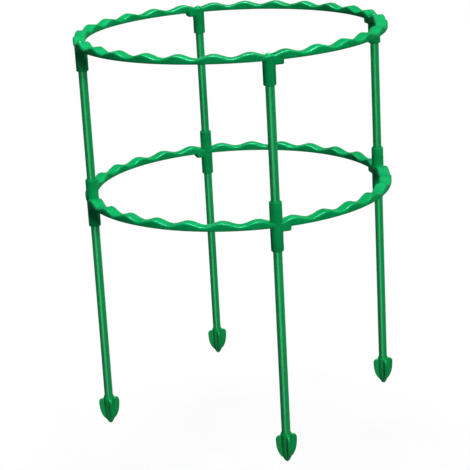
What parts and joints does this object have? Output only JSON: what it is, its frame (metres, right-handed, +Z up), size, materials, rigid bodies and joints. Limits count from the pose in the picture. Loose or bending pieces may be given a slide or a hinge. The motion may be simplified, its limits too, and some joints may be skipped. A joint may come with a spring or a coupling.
{
  "type": "plant support cage",
  "caption": "Free-standing round plant support: wavy rings of keyed arcs one above the other on push-fit round stakes, with a finned spear foot under each stake.",
  "frame": {"origin": "on the cage's vertical axis, level with the tips of the feet", "axes": "+Z up along the cage's axis; the stakes stand at -Y (front), +X (right), +Y (back) and -X (left)"},
  "size_m": [0.2962, 0.2962, 0.3738],
  "materials": {
    "ring_plastic": "semi-gloss moulded green plastic",
    "foot_plastic": "semi-gloss moulded darker green plastic",
    "stake_coat": "glossy extruded green plastic coat",
    "stake_steel": "bare drawn steel tube, out of sight"
  },
  "bodies": {
    "lower_ring": {"lower_arc_front_right": "ring_plastic", "lower_arc_right_back": "ring_plastic", "lower_arc_back_left": "ring_plastic", "lower_arc_left_front": "ring_plastic"},
    "lower_stake_front": {"lower_stake_coat_front": "stake_coat", "lower_stake_core_front": "stake_steel"},
    "spear_foot_front": {"foot_front": "foot_plastic"},
    "lower_stake_right": {"lower_stake_coat_right": "stake_coat", "lower_stake_core_right": "stake_steel"},
    "spear_foot_right": {"foot_right": "foot_plastic"},
    "lower_stake_back": {"lower_stake_coat_back": "stake_coat", "lower_stake_core_back": "stake_steel"},
    "spear_foot_back": {"foot_back": "foot_plastic"},
    "lower_stake_left": {"lower_stake_coat_left": "stake_coat", "lower_stake_core_left": "stake_steel"},
    "spear_foot_left": {"foot_left": "foot_plastic"},
    "upper_stakes": {"upper_stake_coat_front": "stake_coat", "upper_stake_core_front": "stake_steel", "upper_stake_coat_right": "stake_coat", "upper_stake_core_right": "stake_steel", "upper_stake_coat_back": "stake_coat", "upper_stake_core_back": "stake_steel", "upper_stake_coat_left": "stake_coat", "upper_stake_core_left": "stake_steel"},
    "upper_ring": {"upper_arc_front_right": "ring_plastic", "upper_arc_right_back": "ring_plastic", "upper_arc_back_left": "ring_plastic", "upper_arc_left_front": "ring_plastic"}
  },
  "joints": [
    {"name": "lower_stake_front_pull", "type": "slide", "parent": "lower_ring", "child": "lower_stake_front", "axis": [0, 0, -1], "range_m": [0, 0.025]},
    {"name": "foot_front_pull", "type": "slide", "parent": "lower_stake_front", "child": "spear_foot_front", "axis": [0, 0, -1], "range_m": [0, 0.02]},
    {"name": "lower_stake_right_pull", "type": "slide", "parent": "lower_ring", "child": "lower_stake_right", "axis": [0, 0, -1], "range_m": [0, 0.025]},
    {"name": "foot_right_pull", "type": "slide", "parent": "lower_stake_right", "child": "spear_foot_right", "axis": [0, 0, -1], "range_m": [0, 0.02]},
    {"name": "lower_stake_back_pull", "type": "slide", "parent": "lower_ring", "child": "lower_stake_back", "axis": [0, 0, -1], "range_m": [0, 0.025]},
    {"name": "foot_back_pull", "type": "slide", "parent": "lower_stake_back", "child": "spear_foot_back", "axis": [0, 0, -1], "range_m": [0, 0.02]},
    {"name": "lower_stake_left_pull", "type": "slide", "parent": "lower_ring", "child": "lower_stake_left", "axis": [0, 0, -1], "range_m": [0, 0.025]},
    {"name": "foot_left_pull", "type": "slide", "parent": "lower_stake_left", "child": "spear_foot_left", "axis": [0, 0, -1], "range_m": [0, 0.02]},
    {"name": "upper_stakes_lift", "type": "slide", "parent": "lower_ring", "child": "upper_stakes", "axis": [0, 0, 1], "range_m": [0, 0.025]},
    {"name": "upper_ring_lift", "type": "slide", "parent": "upper_stakes", "child": "upper_ring", "axis": [0, 0, 1], "range_m": [0, 0.025]}
  ]
}
